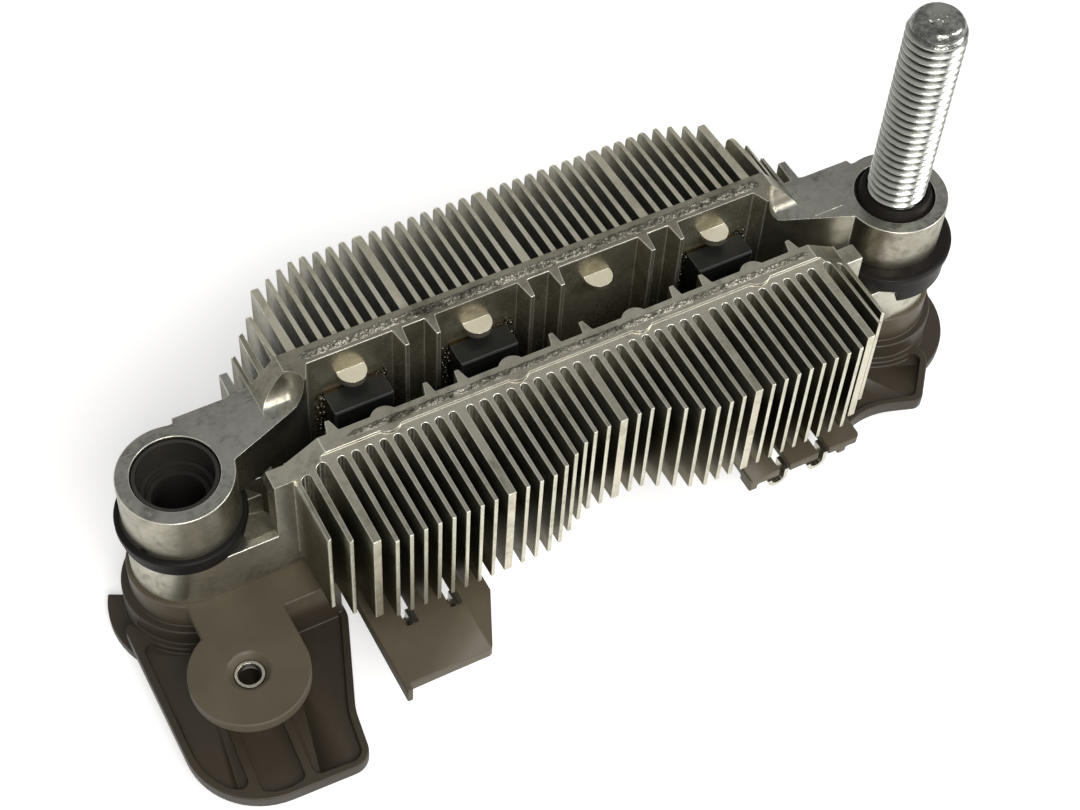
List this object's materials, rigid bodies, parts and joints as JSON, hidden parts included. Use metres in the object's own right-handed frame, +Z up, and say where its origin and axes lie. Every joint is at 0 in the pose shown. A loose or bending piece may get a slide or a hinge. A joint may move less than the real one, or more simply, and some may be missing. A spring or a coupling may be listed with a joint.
{
  "type": "alternator rectifier",
  "caption": "Alternator rectifier: two finned die-cast heat sinks face to face with box diodes between them, a moulded terminal board below and an output stud.",
  "frame": {"origin": "bottom centre of the bounding box, on the plane that the board's two feet stand on", "axes": "+X from the mounting bore to the output stud, +Y towards the positive (rear) heat sink, +Z up along both boss axes"},
  "size_m": [0.127, 0.0564, 0.0615],
  "materials": {
    "cast_aluminium_rear": "die-cast, satin, machined along the wall's top and the boss",
    "cast_aluminium_front": "die-cast, satin, bright along the fin edges",
    "moulded_board": "glass-filled moulding, dark brown, fine grain",
    "bush_plastic": "moulded, nearly black, slight sheen",
    "diode_moulding": "epoxy moulding compound, black",
    "plated_copper": "plated copper base",
    "tinned_metal": "tinned, bright",
    "zinc_plate": "zinc-plated, bright"
  },
  "bodies": {
    "root": {"insulating_bush_left": "bush_plastic", "insulating_bush_right": "bush_plastic", "negative_diode_1": "diode_moulding", "negative_diode_2": "diode_moulding", "negative_diode_3": "diode_moulding", "negative_diode_base_1": "plated_copper", "negative_diode_base_2": "plated_copper", "negative_diode_base_3": "plated_copper", "negative_diode_lead_1": "tinned_metal", "negative_diode_lead_2": "tinned_metal", "negative_diode_lead_3": "tinned_metal", "negative_heat_sink": "cast_aluminium_front", "output_stud": "zinc_plate", "phase_terminal_1": "tinned_metal", "phase_terminal_2": "tinned_metal", "phase_terminal_3": "tinned_metal", "positive_diode_1": "diode_moulding", "positive_diode_2": "diode_moulding", "positive_diode_3": "diode_moulding", "positive_diode_base_1": "plated_copper", "positive_diode_base_2": "plated_copper", "positive_diode_base_3": "plated_copper", "positive_diode_lead_1": "tinned_metal", "positive_diode_lead_2": "tinned_metal", "positive_diode_lead_3": "tinned_metal", "positive_heat_sink": "cast_aluminium_rear", "terminal_board": "moulded_board", "tongue_eyelet": "tinned_metal"}
  },
  "joints": []
}
